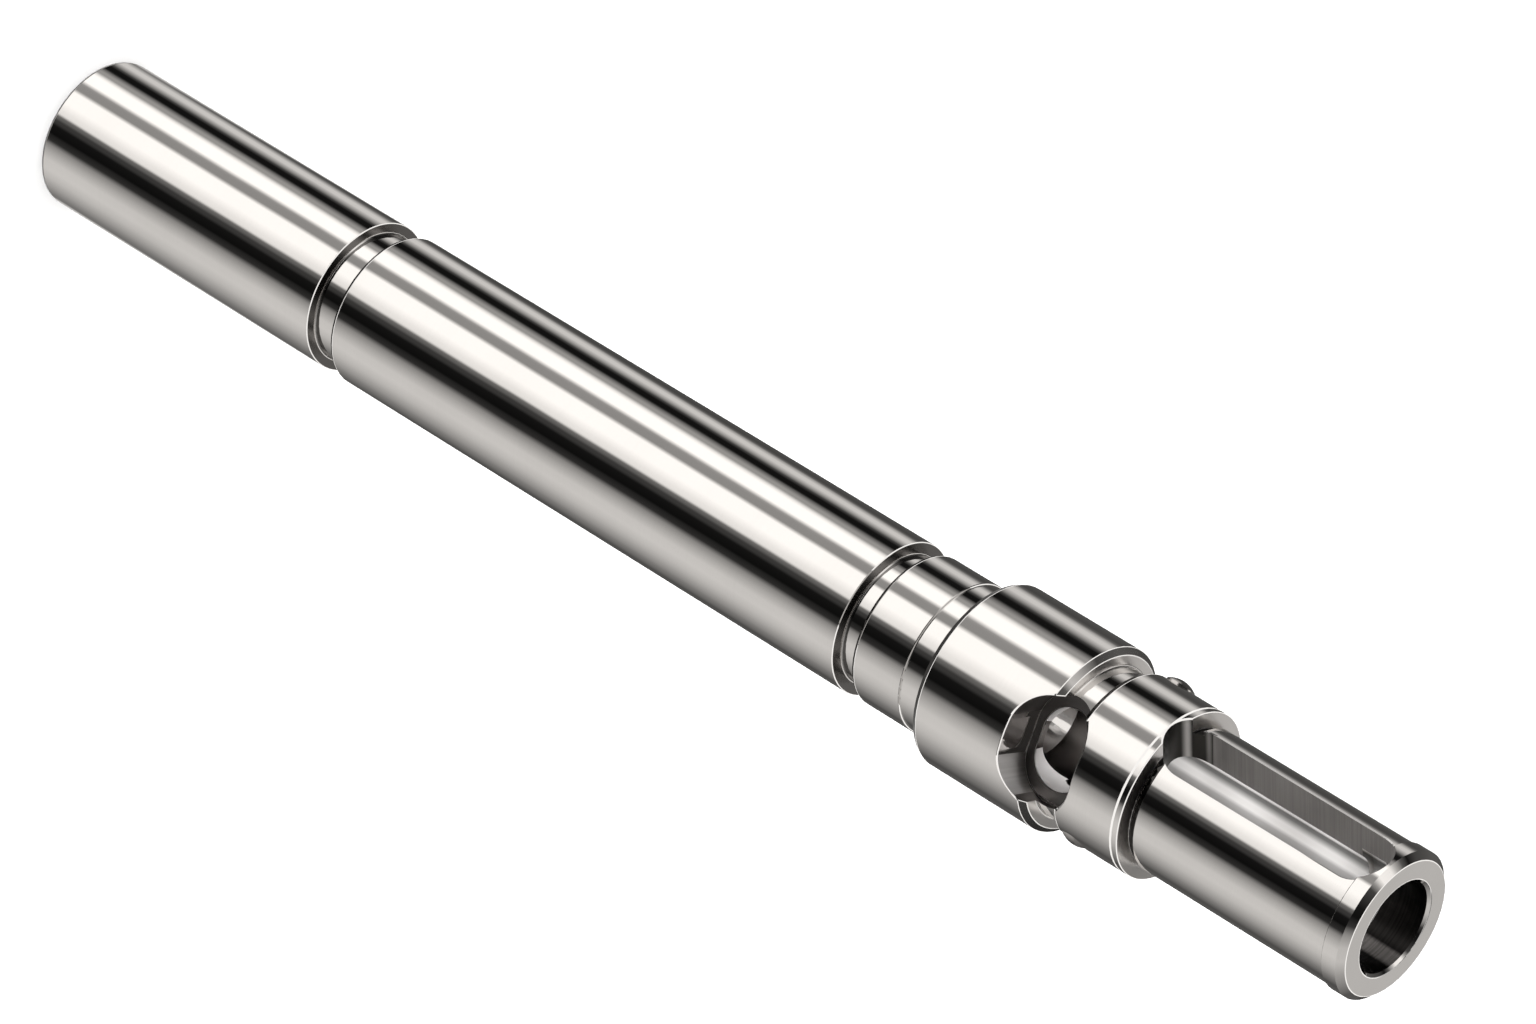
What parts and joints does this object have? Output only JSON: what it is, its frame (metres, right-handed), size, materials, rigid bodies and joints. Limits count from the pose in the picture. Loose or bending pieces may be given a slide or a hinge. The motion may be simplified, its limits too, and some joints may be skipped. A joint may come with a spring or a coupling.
{
  "type": "stepped shaft",
  "caption": "Ground steel shaft turned in steps, with grooves, a bevelled collar, a cross window, and a hollow slotted end with an end ring.",
  "frame": {"origin": "centre of the flat face at the solid end, on the turning axis", "axes": "+Z along the turning axis from the solid end to the hollow end, +X out through the middle of the slot"},
  "size_m": [0.0476, 0.0476, 0.4242],
  "materials": {
    "ground_steel": "ground and polished bright",
    "dowel_steel": "hardened and ground"
  },
  "bodies": {
    "root": {"shaft": "ground_steel", "upper_dowel": "dowel_steel", "lower_dowel": "dowel_steel"}
  },
  "joints": []
}
